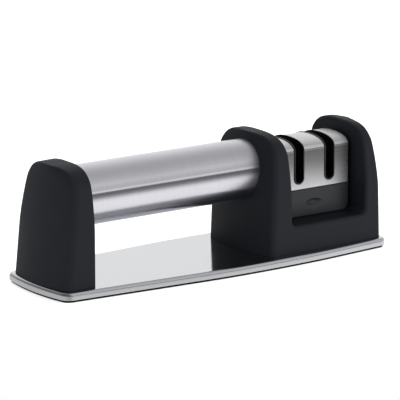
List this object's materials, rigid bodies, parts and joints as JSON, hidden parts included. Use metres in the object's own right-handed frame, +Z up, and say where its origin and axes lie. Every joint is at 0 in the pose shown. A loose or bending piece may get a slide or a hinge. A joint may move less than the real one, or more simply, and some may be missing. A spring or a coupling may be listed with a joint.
{
  "type": "pull-through knife sharpener",
  "caption": "Hand-held pull-through knife sharpener: steel base tray, tubular steel grip between a post and a head, and a lift-out insert with slotted cover over V-set grinding wheels.",
  "frame": {"origin": "middle of the base's underside, on the surface that the sharpener stands on", "axes": "+X along the grip from the post to the sharpening head, -Y the front with the finger scoop, +Z up"},
  "size_m": [0.2044, 0.068, 0.0657],
  "materials": {
    "mat_rubber": "matt moulded rubber",
    "core_plastic": "moulded, hidden under the tray",
    "tray_steel": "bright polished stainless sheet with a satin rim",
    "block_plastic": "soft-touch satin black",
    "tube_steel": "fine-ground bright stainless",
    "insert_plastic": "satin charcoal",
    "cover_steel": "brushed stainless sheet",
    "axle_steel": "ground",
    "hub_plastic": "moulded",
    "coarse_abrasive": "steel coated with grit",
    "fine_abrasive": "steel coated with fine grit",
    "screw_steel": "zinc plated"
  },
  "bodies": {
    "stand": {"base_pad": "mat_rubber", "base_core": "core_plastic", "base_plate": "tray_steel", "handle_post": "block_plastic", "handle_tube": "tube_steel", "head_housing": "block_plastic", "post_screw_1": "screw_steel", "post_screw_2": "screw_steel", "head_screw_1": "screw_steel", "head_screw_2": "screw_steel", "head_screw_3": "screw_steel", "head_screw_4": "screw_steel"},
    "cartridge": {"cartridge_body": "insert_plastic", "cartridge_cover": "cover_steel", "cartridge_base": "insert_plastic", "cartridge_screw_1": "screw_steel", "cartridge_screw_2": "screw_steel", "axle": "axle_steel"},
    "coarse_roller": {"coarse_hub": "hub_plastic", "coarse_wheel_left": "coarse_abrasive", "coarse_wheel_right": "coarse_abrasive"},
    "fine_roller": {"fine_hub": "hub_plastic", "fine_wheel_left": "fine_abrasive", "fine_wheel_right": "fine_abrasive"}
  },
  "joints": [
    {"name": "cartridge_lift", "type": "slide", "parent": "stand", "child": "cartridge", "axis": [0, 0, 1], "range_m": [0, 0.048]},
    {"name": "coarse_spin", "type": "hinge", "parent": "cartridge", "child": "coarse_roller", "pos_m": [0.0529, 0, 0.0334], "axis": [1, 0, 0], "continuous": true},
    {"name": "fine_spin", "type": "hinge", "parent": "cartridge", "child": "fine_roller", "pos_m": [0.0723, 0, 0.0334], "axis": [1, 0, 0], "continuous": true}
  ]
}
